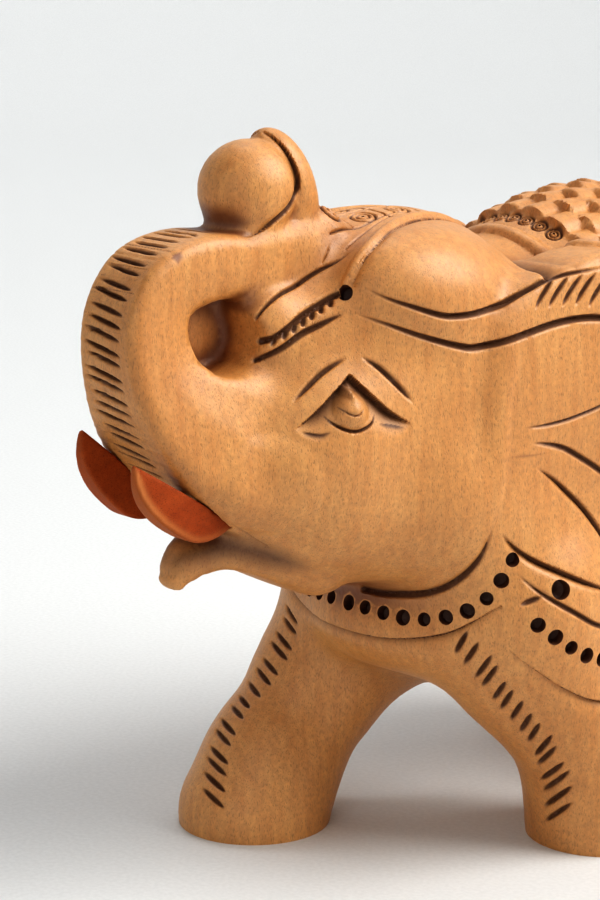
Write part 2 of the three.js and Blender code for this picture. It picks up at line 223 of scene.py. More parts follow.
def flap(outline, face, depth, rim):
    """A flap seen from the side: a closed outline in the YZ plane, whose face is x = face(y, z), solid inward."""
    edge = curve(outline, 3, closed=True)
    return common(
        rim,
        lambda p: inside_outline(edge, p[:, 1:]),
        lambda p: np.abs(p[:, 0] - face(p[:, 1], p[:, 2]) + depth / 2) - depth / 2,
    )


# ------ the carved forms

BALL = (0, -66.6, 144.8)
TRUNK_FLARE = 0.2
TRUNK_PATH = [(-58, 93, 20, 20, 14), (-70, 94, 18.5, 17, 11), (-80, 98, 15, 15.5, 6), (-88.2, 104, 11, 12.7, 3.2)]
TRUNK_PATH += [(-93.2, 112, 8.6, 10.2, 2.6), (-94.2, 121, 7.6, 9.2, 2.4), (-90.2, 128, 7, 9.2, 2.4)]
TRUNK_PATH += [(-82, 130.6, 6.8, 9.4, 2.6), (-72, 131, 6.3, 9.2, 3.5), (-61, 133, 6, 9.2, 4.5), (-52, 135, 6, 8.7, 4.5)]
LEGS = [
    [(-23, -12, 56, 17), (-26, -25, 30, 14.2), (-27.5, -38, 13, 14.2), (-27.5, -43.5, 2, 16.9)],
    [(23, -10, 56, 17), (26, 1, 30, 14.2), (27.5, 8, 13, 14.2), (27.5, 10.7, 2, 16.9)],
    [(-23, 62, 52, 18), (-28, 60, 28, 15), (-30, 57.5, 13, 14.2), (-30, 57, 2, 16.9)],
    [(23, 72, 52, 18), (28, 82, 28, 15), (30, 86, 13, 14.2), (30, 87, 2, 16.9)],
]
TAIL = [(0, 99, 110, 3.6), (0, 104, 90, 3.6), (0, 102, 70, 3.6), (0, 94.5, 54, 3.6), (0, 87.5, 46, 4.6)]
EAR = [(-26, 118), (-19, 125), (-6, 129), (8, 130), (20, 126), (27, 115), (26, 98), (20, 80)]
EAR += [(10, 62), (2, 55), (-7, 60), (-17, 67), (-25, 77), (-29, 90), (-29, 105)]


def ear_face(y, z):
    return 33 + 0.17 * (y + 28) - 0.0032 * (z - 100) ** 2


barrel = mirrored(
    blend(
        egg((0, 33, 87), (37, 58, 51.5), -4),
        (egg((0, 64, 86), (36, 40, 48)), 12),
        (egg((0, -6, 64), (29, 24, 34)), 10),
        (egg((20, -8, 58), (17, 24, 32)), 9),
        (egg((20, 72, 58), (18, 27, 36)), 9),
        (egg((0, -25, 51), (27, 16, 12.5)), 8),
    )
)
legs = [near_only((-60, -80, -30), (60, 125, 90), chain(6, balls)) for balls in LEGS]
tail = near_only((-18, 72, 28), (18, 125, 128), chain(2, TAIL))
head = mirrored(
    blend(
        egg((0, -26, 104), (31, 32, 33)),
        (egg((15, -33, 122), (15, 22, 14), -12), 6),
        (egg((0, -36, 125), (13, 24, 13)), 6),
        (egg((13, -50, 94), (14, 24, 22)), 8),
        (limb((7, -46, 115, 14), (4, -62.6, 116.5, 10.6)), 6),
        (egg((0, -42, 78), (23, 32, 17)), 9),
        (egg((17, -26, 81), (17, 22, 21)), 8),
    )
)
LIP_PATH = [(-55, 70, 9, 14, 7), (-66, 72.3, 6.2, 11, 5), (-75, 73.6, 4.5, 7.6, 3.8)]
LIP_PATH += [(-81.5, 72.4, 3.8, 5.6, 3.3), (-84.8, 70.2, 3.2, 4.2, 2.8), (-86.4, 68.2, 2.1, 3, 1.8)]
lip = bar(LIP_PATH)
trunk = blend(
    bar(TRUNK_PATH, 5, TRUNK_FLARE),
    (egg(BALL, (10, 10.2, 10)), 1.5),
    (limb((0, -66.5, 142, 7.8), (0, -68.5, 133, 7.8)), 2),
    (egg((0, -58.4, 144.4), (8.7, 6.2, 12.8), 18), 0.5),
    (egg((0, -57.5, 133.5), (9.6, 9.5, 9.5)), 0.8),
    (egg((0, -68, 117.5), (11, 5.5, 10)), 2),
    (egg((-2.6, -79.5, 117), (2.9, 11, 11)), 0.8),
)
ears = near_only((8, -45, 38), (62, 45, 146), flap(EAR, ear_face, 16, 4))


def curl(p):
    """The hollows inside the trunk's curl, one carved from each side, with a web of wood left between them."""
    y = (p[:, 1] + 79 + 0.12 * (9 - p[:, 0])) / 7.4
    z = (p[:, 2] - 117) / 7.2
    return np.maximum((np.sqrt(y * y + z * z) - 1) * 7, 2.6 - np.abs(p[:, 0] + 2.6))


def without(k, a, b):
    return lambda p: -meld(k, -a(p), b(p))


front = near_only((-50, -125, 40), (50, 40, 175), without(0.9, blend(head, (trunk, 6), (lip, 3)), curl))
elephant = blend(barrel, *[(leg, 9) for leg in legs], (tail, 2), (front, 8), (mirrored(ears), 4))

# ------ the fine mesh of the block


def shared(field, points):
    """The field at many points, shared out among four threads."""
    rows = np.array_split(points.astype(np.float32), max(1, len(points) // 40000))
    with ThreadPoolExecutor(4) as pool:
        return np.concatenate(list(pool.map(field, rows)))


def slope(field, points, reach=0.05):
    """The field's gradient, from four points round each one."""
    total = np.zeros_like(points, np.float32)
    for arm in ((1, -1, -1), (-1, -1, 1), (-1, 1, -1), (1, 1, 1)):
        arm = np.array(arm, np.float32)
        total += arm * shared(field, points + reach * arm)[:, None]
    return total / (4 * reach)


def unit(v):
    return v / np.maximum(np.linalg.norm(v, axis=-1, keepdims=True), 1e-9)


def settle(field, points, rounds=2):
    """Moves points onto the surface; those on the flat soles stay on the table."""
    for _ in range(rounds):
        g = slope(field, points)
        step = np.clip(shared(field, points) / np.maximum((g * g).sum(1), 0.25), -1, 1)
        moved = points - step[:, None] * g
        sole = points[:, 2] <= 0
        moved[sole] = points[sole]
        points = np.maximum(moved, (-1e9, -1e9, 0)).astype(np.float32)
    return points


def surface_net(field, low, high, size):
    """Quads over the field's surface, with one point in every lattice cell that the surface crosses."""
    low = np.array(low, np.float32)
    count = [int(math.ceil((b - a) / size)) + 1 for a, b in zip(low, high)]
    axes = [np.arange(n) * size + a for n, a in zip(count, low)]
    grid = np.stack(np.meshgrid(*axes, indexing="ij"), -1).reshape(-1, 3)
    value = shared(field, grid).reshape(count)
    inside = value < 0
    corners = [(i, j, k) for i in (0, 1) for j in (0, 1) for k in (0, 1)]

    def corner_of_cells(array, corner):
        return array[tuple(slice(c, n - 1 + c) for c, n in zip(corner, count))]

    full = sum(corner_of_cells(inside, c).astype(int) for c in corners)
    cells = np.argwhere((full > 0) & (full < 8))
    number = np.full(full.shape, -1)
    number[tuple(cells.T)] = np.arange(len(cells))
    total, hits = np.zeros((len(cells), 3)), np.zeros(len(cells))
    for a in corners:
        for axis in range(3):
            if a[axis]:
                continue
            b = tuple(1 if i == axis else c for i, c in enumerate(a))
            va, vb = value[tuple((cells + a).T)], value[tuple((cells + b).T)]
            crossed = (va < 0) != (vb < 0)
            t = va[crossed] / (va[crossed] - vb[crossed])
            total[crossed] += np.array(a) + t[:, None] * (np.array(b) - np.array(a))
            hits[crossed] += 1
    points = (total / hits[:, None] + cells) * size + low
    quads = []
    for axis in range(3):
        u, v = (axis + 1) % 3, (axis + 2) % 3
        first = [slice(None)] * 3
        last = [slice(None)] * 3
        first[axis], last[axis] = slice(0, -1), slice(1, None)
        edge = np.argwhere(inside[tuple(first)] != inside[tuple(last)])
        outward = inside[tuple(edge.T)]
        ring = []
        for du, dv in ((1, 1), (0, 1), (0, 0), (1, 0)):
            near = edge.copy()
            near[:, u] -= du
            near[:, v] -= dv
            ring.append(number[tuple(near.T)])
        ring = np.stack(ring, 1)
        ring[~outward] = ring[~outward][:, ::-1]
        quads.append(ring)
    return points.astype(np.float32), np.concatenate(quads)


def triangles(quads):
    return np.concatenate([quads[:, :3], quads[:, [0, 2, 3]]])


def split_long_edges(points, faces, wanted):
    """Halves each edge longer than its ends want. Both faces of an edge are split alike, so the mesh stays closed."""
    n = len(points)
    ends = faces[:, [0, 1, 1, 2, 2, 0]].reshape(-1, 2)
    key, back = np.unique(ends.min(1) * n + ends.max(1), return_inverse=True)
    a, b = key // n, key % n
    length = np.linalg.norm(points[a] - points[b], axis=1)
    cut = length > 1.3 * np.minimum(wanted[a], wanted[b])
    middle = np.full(len(key), -1)
    middle[cut] = n + np.arange(cut.sum())
    m = middle[back].reshape(-1, 3)
    halved = m >= 0
    turn = np.zeros(len(faces), int)
    cuts = halved.sum(1)
    for side in (1, 2):
        turn[(cuts == 1) & halved[:, side]] = side
        turn[(cuts == 2) & ~halved[:, side - 1]] = side
    order = (np.arange(3) + turn[:, None]) % 3
    f, m = np.take_along_axis(faces, order, 1), np.take_along_axis(m, order, 1)
    v0, v1, v2 = f.T
    m0, m1, m2 = m.T
    shapes = {
        0: [(v0, v1, v2)],
        1: [(v0, m0, v2), (m0, v1, v2)],
        2: [(v0, m0, m1), (m0, v1, m1), (v0, m1, v2)],
        3: [(v0, m0, m2), (m0, v1, m1), (m1, v2, m2), (m0, m1, m2)],
    }
    made = []
    for count, pieces in shapes.items():
        made += [np.stack([p[cuts == count] for p in piece], 1) for piece in pieces]
    return np.concatenate([points, (points[a[cut]] + points[b[cut]]) / 2]), np.concatenate(made)


# ------ the carver's marks

MARKS = []
WELL_CLEAR = 60.0  # from the middle, where strokes cut from the side start out


def mark(kind, path, width, depth, ends=(1, 1), mirror=True, smooth=6):
    """One stroke. Its path's rows are (y, z), cut from the side, or (x, y, z), the nearest surface to that point.

    A cut's width is its half width, or a pair: to the left of the path's run, seen from outside, and to the right.
    ends says how much each end tapers, 0 for a blunt end.
    """
    rows = np.array(path, float)
    rows = curve(rows, smooth) if len(rows) > 1 else rows.astype(np.float32)
    width = width if isinstance(width, tuple) else (width, width)
    for side in (1, -1) if mirror else (1,):
        if rows.shape[1] == 2:
            seeds = np.column_stack([np.full(len(rows), WELL_CLEAR * side), rows])
        else:
            seeds = rows * (side, 1, 1)
        stroke = {"kind": kind, "seeds": seeds, "cast": rows.shape[1] == 2, "depth": depth, "ends": ends}
        MARKS.append({**stroke, "width": width if side > 0 else width[::-1]})


def between(rows, t):
    """The point at fraction t of the way along a row of points."""
    rows = np.array(rows, float)
    reach = np.concatenate([[0], np.cumsum(np.linalg.norm(np.diff(rows, axis=0), axis=1))])
    return np.array([np.interp(t * reach[-1], reach, column) for column in rows.T])


def hatching(start, end, count, width, depth, mirror=False, uneven=0.12):
    """Short strokes side by side, each from one edge of a band to the other."""
    for i in range(count):
        shift = uneven * math.sin(2.7 * i + 0.6 * count)
        t = (i + 0.5 + shift) / count
        a, b = between(start, t), between(end, t)
        reach = 0.06 + 0.05 * math.sin(1.9 * i)
        bend = (a + b) / 2 + 0.03 * (b - a)
        mark("cut", [a + reach * (b - a), bend, b], width, depth * (1 + 0.15 * math.sin(3.1 * i)), (0.9, 1), mirror, 5)


def drilled(path, gap, radius, depth, mirror=True, first=0.0):
    """A row of holes along a path, this far apart."""
    rows = curve(path, 8)
    length = np.linalg.norm(np.diff(rows, axis=0), axis=1).sum()
    for i in range(int((length - first) / gap) + 1):
        centre = between(rows, (first + i * gap) / length)
        both = mirror and (len(centre) == 2 or centre[0] > 1)
        mark("hole", [centre], radius * (1 + 0.08 * math.sin(2.3 * i)), depth, (0, 0), both)


def ring(centre, radius, mirror=True):
    """A punched ring with a smaller one inside it and a dot in the middle."""
    for r, w in ((radius, 0.42), (0.52 * radius, 0.32)):
        mark("circle", [centre], w, 0.7, (r, 0), mirror)
    mark("hole", [centre], 0.3, 0.4, (0, 0), mirror)


def trunk_marks():
    ridge = [(-79, 137.6), (-86, 137), (-93, 134.4), (-98, 130), (-101.3, 124.5), (-102.6, 117)]
    ridge += [(-102, 110), (-99.6, 103), (-96, 95.5), (-91, 89), (-86, 83.5)]
    far = [(-7.4, y, z) for y, z in ridge]
    near = [(5.2, y + 0.6, z - 2.2) for y, z in ridge]
    hatching(far, near, 29, 0.6, 1.15)
    mark("cut", [(12.8, -51.5, 131.6), (10.6, -59.5, 128), (9.5, -67, 124), (9, -71.5, 120.5)], 0.55, 1.0, (0.8, 0.4))
    mark("cut", [(-56, 124.9), (-60.1, 122.8), (-65.1, 120.3), (-71.6, 116)], 0.85, 1.5, (0.1, 0.1))
    for i in range(7):
        y = -58 - 2.05 * i
        mark("cut", [(y, 123.6 + 0.56 * (y + 58)), (y - 0.3, 122.7 + 0.56 * (y + 58))], 0.75, 1.2, (0, 0.2), smooth=2)
    mark("hole", [(-55.6, 124.9)], 1.5, 3)
    mark("cut", [(-57, 120.9), (-61.7, 118.8), (-65.3, 117.2), (-69.5, 114.3), (-72.6, 112.3)], 0.8, 1.3, (0.8, 0.3))
    mark("cut", [(10.2, -53.6, 134), (9.6, -55, 131.6), (9.4, -56.4, 129.6)], 0.25, 0.35)
    mark("cut", [(12.2, -81.5, 81.5), (11, -75.2, 77), (12, -70.5, 74.3)], (0.5, 1.8), 0.9)


def hood():
    """The fold of the trunk's tip, wrapped round the ball that it carries."""
    fold = [(0.8, -63.6, 156.8), (6.4, -61.8, 152.6), (8.6, -60.4, 147), (9.3, -61.6, 142.6)]
    fold += [(9, -67, 138.6), (7.6, -74, 136.6)]
    mark("cut", fold, (0.3, 2.2), 1.5, (0.7, 0.9), smooth=8)


def headdress():
    edge = [(16.3, -55.5, 126.8), (16.2, -52.5, 130.5), (15.4, -47, 134.4), (12.6, -41, 136.3), (9.4, -33, 137.4)]
    edge += [(6.2, -22, 136.6), (4, -12, 134)]
    mark("ridge", edge, 0.95, 0.75, (0.3, 0.6), smooth=8)
    mark("cut", [(x + 1.3, y + 0.7, z - 0.6) for x, y, z in edge], (0.3, 2.4), 0.8, (0.5, 0.8), smooth=8)
    inner = [(11.8, -51.4, 132.6), (11.2, -47.5, 134.6), (9, -41, 136.4), (6, -32, 138)]
    mark("cut", inner, 0.35, 0.5, (0.5, 0.5))
    mark("cut", [(10, -53, 136), (8.6, -46, 137), (7, -39, 137.8), (4.8, -30, 138.4)], 0.42, 0.7, (0.3, 0.5))
    for i in range(3):
        y = -50.5 + 10.3 * i
        x = 6.2 - 1.1 * i
        ring((x - 0.6, y, 139), 2.6)
        mark("cut", [(x + 2.2, y + 5.2, 137.4), (0, y + 4.6, 139)], 0.42, 0.7, (0.2, 0.2))
    mark("cut", [(0, -54, 139), (0, -40, 139), (0, -26, 139)], 0.4, 0.65, (0.2, 0.2), False)


def head_marks():
    upper = [(-53.4, 126), (-51, 124.4), (-48, 123), (-41, 120.5), (-36.7, 120), (-31.6, 120.3)]
    mark("cut", upper + [(-26, 121.3), (-21, 123.3), (-15, 125.6), (-9, 126.6), (0, 127)], (0.6, 1.0), 1.35)
    lower = [(-55.6, 121.3), (-51.8, 119.6), (-44, 116.3), (-36, 113.8), (-31.3, 113.3), (-23, 115)]
    mark("cut", lower + [(-13, 117), (-4, 117.2), (5, 115), (12, 110), (17, 102)], (0.6, 1.1), 1.45)
    for i in range(10):
        y = -13.4 + 3.3 * i
        fall = 0.55 * max(0, i - 3) ** 1.4
        mark("cut", [(y + 0.4, 126.2 - fall), (y - 3, 122.8 - fall), (y - 5.6, 119.8 - fall)], (0.45, 0.8), 0.95)
    mark("cut", [(-7, 134), (-11.5, 130), (-14.6, 126)], (8, 1.6), 2.0, (0.6, 0.2))
    mark("cut", [(-21.5, 114), (-24.3, 104), (-25.3, 94), (-26.5, 85), (-29.5, 77)], (9, 2.6), 0.45, (1, 0.8))
    mark("mound", [(17, -75, 88)], 11, 1.6)
    mark("mound", [(0, -85, 69.5)], 6, 0.1, mirror=False)
    # Painted shade: darker strokes on the lip and the trunk's side where the tusk shades them, and under the ball on
    # top of the trunk.
    mark("painted_shade", [(12, -58, 72), (9, -68, 73.5), (5, -77, 74.5), (2, -86, 72)], 6.5, 0.5, (0.9, 0.3))
    mark("painted_shade", [(8, -80, 84), (9, -90, 90), (8, -96, 95)], 4, 0.3, (0.6, 0.9))
    mark("painted_shade", [(0, -75.5, 137), (6, -74, 136), (9, -68, 137.5)], 3.5, 0.3, (0.3, 0.6))
    mark("cut", [(-58.0, 112.7), (-62.9, 110.3), (-66.6, 107.6), (-70, 104.6)], 0.72, 1.0)
    mark("cut", [(-55.4, 112.8), (-52.4, 110.4), (-49.6, 107.2), (-46.4, 103)], 0.72, 1.0)
    mark("cut", [(-58.6, 109.4), (-62.5, 106.5), (-66.5, 103.2), (-70.8, 99.6)], (6.5, 0.25), 1.7, (0, 1))
    mark("cut", [(-47, 98.8), (-51.5, 101.6), (-54.8, 104.8), (-58.6, 109.4)], (6.5, 0.25), 1.9, (1, 0))
    mark("mound", [(-60.2, 103.2)], 4.0, 2.0)
    mark("cut", [(-66.2, 104), (-64.6, 100.9), (-60.4, 98.8), (-56.4, 100), (-54.4, 103.4)], (0.5, 0.45), 0.9)
    mark("cut", [(-63.9, 105.2), (-62, 102.6), (-59.8, 101.8), (-57.6, 103.6)], (0.32, 0.32), 0.55)
    mark("ridge", [(-60.6, 107.4), (-59.4, 103)], 0.9, 2.1, (0.3, 0.6))
    mark("cut", [(-70.2, 99.4), (-67, 98.6), (-64.6, 99.2)], (0.3, 1.2), 0.6)
    mark("cut", [(-55.2, 100), (-51.5, 99.2), (-48, 98.2)], (0.3, 1.2), 0.6)
    jaw = [(33.2, -30, 76), (31.6, -31.4, 69.5), (27, -34, 63.8), (20, -36.2, 60.4), (12, -38, 59), (4, -38, 58.5)]
    mark("cut", jaw, (0.7, 2.4), 1.6, (1, 0.2))


def ear_marks():
    veins = (
        ([(-24, 96), (-18.4, 95.9), (-13.4, 96.3), (-8.5, 97.2), (-2, 99), (5, 102)], (0.35, 0.7), 0.7),
        ([(-21, 92.6), (-16.7, 92.1), (-12, 90.8), (-7, 88), (-1, 84), (6, 78)], (0.45, 1.1), 1.0),
        ([(-19.2, 87.4), (-15, 84.7), (-11.3, 81.7), (-5.9, 76.7), (-1, 70.5), (2, 64)], (0.55, 1.7), 1.35),
        ([(-4, 104), (4, 107.5), (11, 107), (17, 103)], (0.4, 0.9), 0.8),
        ([(6, 93), (12, 92), (18, 88)], (0.4, 0.9), 0.8),
    )
    for path, width, depth in veins:
        mark("cut", path, width, depth)
    front = [(-27.6, 74.4), (-24, 70.9), (-20, 68), (-15, 65.3), (-10, 62.8), (-4, 60.2)]
    mark("cut", front, (0.5, 2.2), 1.7, (1, 0.5))


def ear_edge():
    """The stop cut round the back of the ear, which leaves it standing above the body."""
    edge = [(12, 131), (22, 127.5), (28.6, 117), (28.4, 104), (25.4, 92), (20, 78), (13, 66), (6, 57.5)]
    mark("cut", edge, (4.5, 0.35), 1.5, (1, 0.5), smooth=8)


def harness():
    strap = [(33.9, -24.7, 68.7), (32.4, -27.3, 63.4), (29.9, -29.8, 59.4), (26.4, -32.4, 57), (21, -35.4, 55.2)]
    strap += [(14.2, -38, 54.7), (8, -39.6, 55.2), (0, -40.4, 55.4)]
    drilled(strap, 4.9, 1.5, 2.4)
    lower = [(33, -27, 59), (28.2, -31.2, 55), (24.4, -33.8, 52.6), (18, -37.2, 50.6)]
    mark("cut", lower + [(10, -39.7, 49.4), (0, -40.9, 49.2)], (3.2, 0.3), 1.0, (0.6, 0))
    row = [(-25, 58.6), (-22.3, 56.1), (-18.5, 53), (-13, 49), (-6, 45.6), (3, 44.6), (12, 48), (24, 54.5), (37, 57)]
    row += [(50, 54), (60, 49), (70, 47.4), (80, 51), (88, 58), (94, 67)]
    drilled(row, 4.8, 1.6, 2.4, first=5.5)
    mark("cut", [(y, z - 9.4) for y, z in row[:-1]] + [(95.5, 56)], (0.3, 4.5), 1.3, (0.8, 0), smooth=8)
    mark("cut", [(y, z + 7.2) for y, z in row[3:-1]] + [(92, 74)], (0.4, 0.7), 0.7, (0.6, 0), smooth=8)
    drilled([(27, 98, 72), (18, 101.5, 80), (9, 103, 86)], 4.8, 1.6, 2.4)
    mark("cut", [(32, 94, 57), (27, 98, 61.5), (18, 102, 70), (9, 103, 76)], (0.3, 4.5), 1.3, (0, 0.5), smooth=8)
    mark("cut", [(30, 92, 74), (24, 97, 80), (16, 100.5, 87), (9, 102, 92)], (0.4, 0.7), 0.7, (0, 0.6), smooth=8)
    mark("hole", [(39.4, -16, 62)], 2.1, 2.6)
    behind = [(34.6, -24, 65.6), (37.8, -19.6, 61.4), (40, -13, 57), (41, -5, 52.6), (40.6, 6, 50.6)]
    mark("cut", behind, (0.4, 1.0), 1.0)
    mark("cut", [(35.6, -24.2, 59.2), (37, -22, 60.2), (38, -20, 60.8)], 0.8, 0.9)


def leg_marks():
    right_far = [(-26, -34, 50), (-29.5, -37.5, 39.5), (-33, -45, 30), (-33, -51, 20), (-28, -58.5, 9.5)]
    right_near = [(-20, -34, 47), (-22, -38.5, 35), (-25.3, -46, 26.5), (-24.5, -52, 18.3), (-19.8, -57.6, 6)]
    left_far = [(26, -31, 55), (30.6, -28.4, 51), (32.3, -21.5, 39.6), (34.8, -12.9, 29), (36.3, -8.9, 22)]
    left_near = [(23, -31.2, 50.5), (25.8, -29, 44.6), (28.2, -21, 33), (29.7, -14, 24.4), (27.6, -9, 15)]
    hatching(right_far, right_near, 15, 0.75, 1.1)
    hatching(left_far + [(35.6, -5.9, 11.5)], left_near + [(26.8, -6.8, 4.2)], 15, 0.75, 1.1)
    shins = (
        ([(38.8, 14, 30), (40, 19, 18), (41.5, 21, 9)], [(35.5, 18, 27.5), (36, 21.5, 15), (36.5, 24, 6)], 7),
        ([(-39, -30, 32), (-41, -33, 20), (-43.5, -36, 9)], [(-36, -26, 29.5), (-37, -27, 17), (-39, -31, 6)], 7),
        ([(-38, 48, 33), (-40, 46, 22), (-41, 45, 10)], [(-33, 43.5, 29), (-34, 42.5, 18), (-34.5, 41, 6)], 9),
        ([(38, 66, 33), (40, 72, 22), (41, 74, 10)], [(33, 62, 29), (34, 68, 18), (34.5, 70.5, 6)], 9),
    )
    for far, near, count in shins:
        hatching(far, near, count, 0.55, 0.8)


def tail_marks():
    for i in range(15):
        z = 108 - 4.2 * i
        y = float(np.interp(z, [46, 54, 70, 90, 110], [92, 98.6, 105.8, 107.8, 102.8]))
        mark("cut", [(-3.4, y - 1, z + 1.6), (0, y + 0.4, z - 0.6)], 0.4, 0.55, (0.6, 0.2))
    hatching([(-4, 94, 52), (0, 95, 52), (4, 94, 52)], [(-4, 88, 42), (0, 89, 42), (4, 88, 42)], 6, 0.35, 0.6)


def rug_marks():
    for i in range(-4, 5):
        x = 4.3 * i
        ring((x, RUG_FRONT + 5.7 + 0.0045 * x * x, 136 - 0.014 * x * x), 1.7, False)
    for i in range(16):
        y = 8.5 + 4.4 * i
        turn = (min(22 + 0.85 * (y - RUG_FRONT), GIRTH) - 5.7) / GIRTH
        ring((44 * math.sin(turn), y, GIRTH_AXIS + 50 * math.cos(turn)), 1.7)


RUG_FRONT, RUG_BACK = 0.5, 84.0
GIRTH, GIRTH_AXIS = 46, 84  # the barrel's radius under the rug, and the height of its middle


def rug_axes(points):
    """Round the barrel from the middle of the back, and along it, in millimetres."""
    x, y, z = points.T
    return GIRTH * np.arctan2(np.abs(x), np.maximum(z - GIRTH_AXIS, 0.1)), y


def rug(points):
    """Height of the rug on the back, and how far in from its edge: a rolled rim, a border, then overlapping petals."""
    across, y = rug_axes(points)
    side = np.minimum(22 + 0.85 * np.clip(y - RUG_FRONT, 0, None), GIRTH) - across
    inward = np.minimum(np.minimum(y - RUG_FRONT - 0.0045 * across**2, RUG_BACK - y), side)
    inward = np.where(points[:, 2] > GIRTH_AXIS, inward, -1e3)
    height = -0.5 * np.clip(inward / 0.5 + 0.5, 0, 1)
    rim = np.clip(1 - ((inward - 1.7) / 1.75) ** 2, 0, 1)
    height = np.maximum(height, 1.5 * np.sqrt(rim) - 0.35 * (rim > 0))
    row = (y - 9) / 5.6
    petal = np.zeros(len(points), np.float32)
    for layer in (0, 1):
        index = np.floor((row - layer) / 2) * 2 + layer
        along = (row - index) / 2
        column = np.abs((np.copysign(across, points[:, 0]) + 3.3 * (index % 2)) % 6.6 - 3.3) / 3.3
        body = np.sqrt(np.clip(1 - column**2 * (0.75 + 1.2 * along), 0, 1)) * np.clip(1 - along, 0, 1) ** 0.8
        petal = np.maximum(petal, body * np.clip(along * 12, 0, 1))
    field = np.clip((inward - 8.2) / 0.8, 0, 1)
    return height + field * (2.5 * petal - 0.5), inward


def cast_marks():
    """Puts every stroke's points on the block and gives each its outward normal, all in one go."""
    seeds = np.concatenate([m["seeds"] for m in MARKS]).astype(np.float32)
    cast = np.concatenate([np.full(len(m["seeds"]), m["cast"]) for m in MARKS])
    side = np.sign(seeds[cast, 0])
    for _ in range(60):
        gap = shared(elephant, seeds[cast])
        seeds[cast, 0] -= side * 0.8 * gap
    for _ in range(7):
        g = slope(elephant, seeds)
        seeds -= (np.clip(shared(elephant, seeds), -1.5, 1.5) / np.maximum((g * g).sum(1), 0.25))[:, None] * g
    normals = unit(slope(elephant, seeds))
    start = 0
    for m in MARKS:
        stop = start + len(m["seeds"])
        m["path"], m["normal"] = seeds[start:stop], normals[start:stop]
        start = stop


def nearby(points, m, reach):
    """The points close to a stroke: their rows, distance from it along the surface, side, and place along it."""
    path = m["path"]
    low, high = path.min(0) - reach, path.max(0) + reach
    rows = np.flatnonzero(((points > low) & (points < high)).all(1))
    p = points[rows]
    if len(path) == 1:
        gap, normal = p - path[0], m["normal"][0]
        gap = gap - (gap @ normal)[:, None] * np.where(np.abs(gap @ normal) < 3, 1, 0)[:, None] * normal
        return rows, np.linalg.norm(gap, axis=1), np.ones(len(rows)), np.zeros(len(rows))
    a, step = path[:-1], np.diff(path, axis=0)
    length2 = np.maximum((step**2).sum(1), 1e-9)
    t = np.clip(((p[:, None] - a) * step).sum(2) / length2, 0, 1)
    gap = p[:, None] - a - t[..., None] * step
    best = (gap**2).sum(2).argmin(1)
    each = np.arange(len(rows))
    t, gap = t[each, best], gap[each, best]
    normal = unit(m["normal"][best] * (1 - t[:, None]) + m["normal"][best + 1] * t[:, None])
    lift = (gap * normal).sum(1)
    gap = gap - (lift * (np.abs(lift) < 3))[:, None] * normal
    left = (np.cross(normal, step[best]) * gap).sum(1) > 0
    reach = np.concatenate([[0], np.cumsum(np.sqrt(length2))])
    past = ((best == 0) & (t == 0)) | ((best == len(step) - 1) & (t == 1))
    side = np.where(past, 2, np.where(left, 0, 1))
    return rows, np.linalg.norm(gap, axis=1), side, (reach[best] + t * np.sqrt(length2[best])) / reach[-1]


def tapered(along, ends):
    """1 in the middle of a stroke, falling towards a tapered end."""
    start = np.clip(along / 0.4, 0, 1) if ends[0] else np.ones_like(along)
    stop = np.clip((1 - along) / 0.4, 0, 1) if ends[1] else np.ones_like(along)
    return (1 - ends[0] * (1 - start) ** 2) * (1 - ends[1] * (1 - stop) ** 2)


def carve(points):
    """Raised height, cut depth, darkening for stain and painted shade, and the edge length that the carving wants, at
    points on the block.
    """
    cut, stain_and_shade = np.zeros((2, len(points)), np.float32)
    wanted = np.full(len(points), COARSE, np.float32)
    raised, inward = rug(points)
    wanted = np.where((inward > -1.2) & (inward < 60), np.where(inward < 1.2, 0.6, 0.95), wanted)
    for m in MARKS:
        kind, narrow = m["kind"], min(m["width"])
        if kind == "hole":
            continue
        radius = m["ends"][0] if kind == "circle" else 0
        rows, gap, side, along = nearby(points, m, max(m["width"]) + 2.4 + radius)
        if not len(rows):
            continue
        gap = np.abs(gap - radius)
        taper = np.ones(len(rows)) if len(m["path"]) == 1 else tapered(along, m["ends"])
        edge = 0.9 if kind in ("mound", "painted_shade") else max(FINE, 0.55 * narrow)
        wanted[rows] = np.minimum(wanted[rows], edge + 0.75 * np.clip(gap - narrow - 0.25, 0, None))
        width = np.array([*m["width"], narrow])[side.astype(int)]
        x = gap / (width * (0.45 + 0.55 * taper))
        if kind in ("cut", "circle"):
            wide = width > 1.2
            shape = np.where(wide, np.clip(1 - x, 0, 1) ** 2, np.clip(1.08 - np.sqrt(x * x + 0.0064), 0, 1))
            made = m["depth"] * taper * shape
            cut[rows] = np.maximum(cut[rows], made)
            # The deeper a cut, the darker its wood: partly stain in the cut, partly painted shade.
            stain_and_shade[rows] = np.maximum(stain_and_shade[rows], made * np.where(wide, 0.35, 1))
        elif kind == "ridge":
            raised[rows] = np.maximum(raised[rows], m["depth"] * taper * np.sqrt(np.clip(1 - x * x, 0, 1)))
        elif kind == "mound":
            raised[rows] = np.maximum(raised[rows], m["depth"] * np.clip(1 - x * x, 0, 1))
        # Painted shade: these strokes only darken the wood, with no cut.
        elif kind == "painted_shade":
            stain_and_shade[rows] = np.maximum(stain_and_shade[rows], m["depth"] * taper * np.clip(1 - x, 0, 1))
    return raised, cut, stain_and_shade, wanted


COARSE, FINE = ((2.1, 0.36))


def shelter(points, normals):
    """How enclosed each point is, 0 in the open and towards 1 in a hollow."""
    total = np.zeros(len(points))
    for reach, weight in ((2, 0.3), (5, 0.35), (10, 0.35)):
        room = shared(elephant, points + reach * normals) / reach
        total += weight * np.clip(1 - room, 0, 1)
    return total


